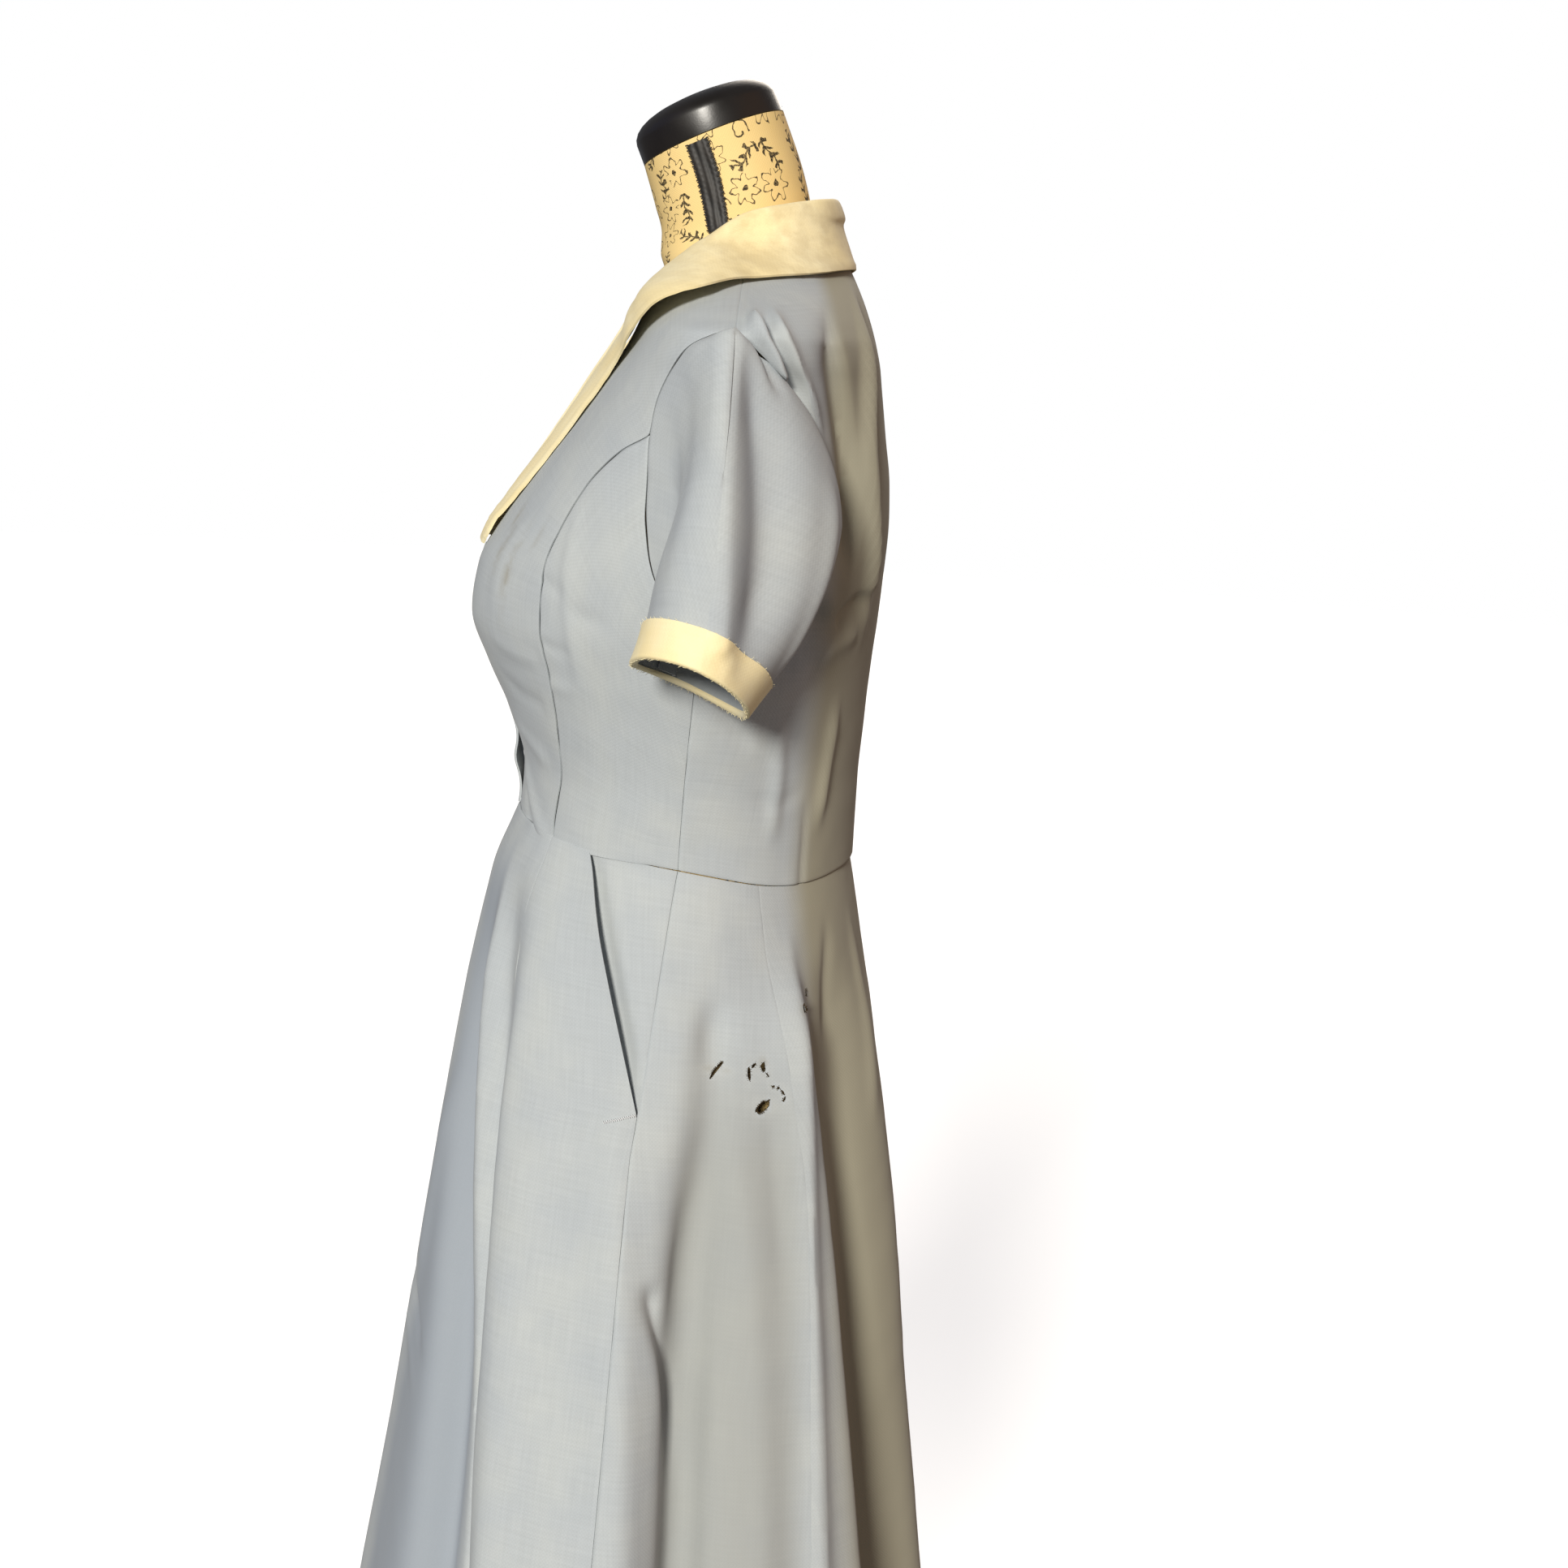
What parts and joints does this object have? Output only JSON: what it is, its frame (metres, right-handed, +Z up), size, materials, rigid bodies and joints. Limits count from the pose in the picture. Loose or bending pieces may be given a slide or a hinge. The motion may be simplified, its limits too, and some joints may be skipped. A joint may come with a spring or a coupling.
{
  "type": "waitress uniform dress on a dress form",
  "caption": "Short-sleeved cotton uniform dress with a shawl collar, turned-back cuffs and flared skirt, worn by a limbless dress form on a round stand.",
  "frame": {"origin": "centre of the stand base's underside, on the floor, on the pole's axis", "axes": "+Z up along the pole, -Y to the front of the dress, +X to the wearer's left"},
  "size_m": [0.6056, 0.4198, 1.5096],
  "materials": {
    "dress_cotton": "pale blue-grey plain-woven cotton, soft from washing, with faint stains",
    "trim_cotton": "cream plain-woven cotton, mellowed and spotted",
    "form_cover": "warm straw-coloured printed cover, stretched smooth",
    "braid": "black scalloped braid and cap, matt",
    "stand_paint": "satin black paint on steel"
  },
  "bodies": {
    "root": {"bodice_front_left": "dress_cotton", "bodice_side_front_left": "dress_cotton", "bodice_front_right": "dress_cotton", "bodice_side_front_right": "dress_cotton", "bodice_back": "dress_cotton", "front_placket": "dress_cotton", "sleeve_left": "dress_cotton", "sleeve_right": "dress_cotton", "skirt_front_left": "dress_cotton", "skirt_side_front_left": "dress_cotton", "pocket_hip_left": "dress_cotton", "skirt_side_back_left": "dress_cotton", "skirt_front_right": "dress_cotton", "skirt_side_front_right": "dress_cotton", "pocket_hip_right": "dress_cotton", "skirt_side_back_right": "dress_cotton", "skirt_back": "dress_cotton", "collar": "trim_cotton", "cuff_left": "trim_cotton", "cuff_right": "trim_cotton", "form_torso": "form_cover", "form_neck_cap": "braid", "form_braid_left": "braid", "form_braid_right": "braid", "stand_base": "stand_paint", "stand_socket": "stand_paint", "stand_pole": "stand_paint", "stand_flange": "stand_paint"}
  },
  "joints": []
}
